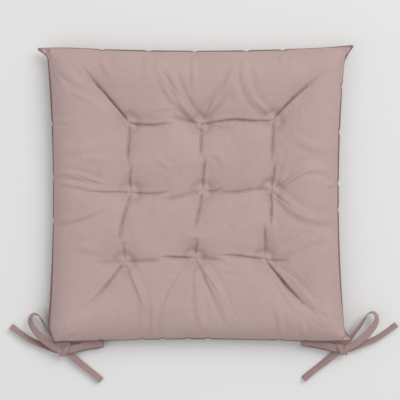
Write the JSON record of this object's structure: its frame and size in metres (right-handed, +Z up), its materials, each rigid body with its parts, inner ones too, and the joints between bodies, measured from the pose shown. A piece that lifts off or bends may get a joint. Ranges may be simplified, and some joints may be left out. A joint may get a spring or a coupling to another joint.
{
  "type": "chair seat pad",
  "caption": "Square tufted chair seat pad with a sewn knife edge, pointed corners, and fabric tapes tied in bows at the back corners.",
  "frame": {"origin": "under the middle of the pad, on the surface that it rests on", "axes": "+Z up through the pad, +Y to its front edge, away from the ties, +X to the right"},
  "size_m": [0.5266, 0.4532, 0.05],
  "materials": {
    "cover_fabric": "matte brushed plain weave, dusty rose",
    "tie_fabric": "the cover's own fabric, folded and edge-stitched",
    "sewing_thread": "matte polyester thread, matched to the cover",
    "polyester_fibre": "soft white fibre batting"
  },
  "bodies": {
    "pad": {"cover_top": "cover_fabric", "cover_bottom": "cover_fabric", "filling": "polyester_fibre", "seam_allowance": "cover_fabric", "seam_thread": "sewing_thread", "tuft_stitch_1": "sewing_thread", "tuft_stitch_2": "sewing_thread", "tuft_stitch_3": "sewing_thread", "tuft_stitch_4": "sewing_thread", "tuft_stitch_5": "sewing_thread", "tuft_stitch_6": "sewing_thread", "tuft_stitch_7": "sewing_thread", "tuft_stitch_8": "sewing_thread", "tuft_stitch_9": "sewing_thread", "left_root_tack": "sewing_thread", "right_root_tack": "sewing_thread"},
    "left_bow": {"left_knot": "tie_fabric", "left_outer_lead": "tie_fabric", "left_outer_loop": "tie_fabric", "left_outer_tail": "tie_fabric", "left_inner_lead": "tie_fabric", "left_inner_loop": "tie_fabric", "left_inner_tail": "tie_fabric"},
    "right_bow": {"right_knot": "tie_fabric", "right_outer_lead": "tie_fabric", "right_outer_loop": "tie_fabric", "right_outer_tail": "tie_fabric", "right_inner_lead": "tie_fabric", "right_inner_loop": "tie_fabric", "right_inner_tail": "tie_fabric"}
  },
  "joints": [
    {"name": "left_tie_lift", "type": "hinge", "parent": "pad", "child": "left_bow", "pos_m": [-0.178, -0.1993, 0.0176], "axis": [-0.9659, 0.2588, 0], "range_deg": [0, 30]},
    {"name": "right_tie_lift", "type": "hinge", "parent": "pad", "child": "right_bow", "pos_m": [0.197, -0.1993, 0.0176], "axis": [-0.9659, -0.2588, 0], "range_deg": [0, 30]}
  ]
}
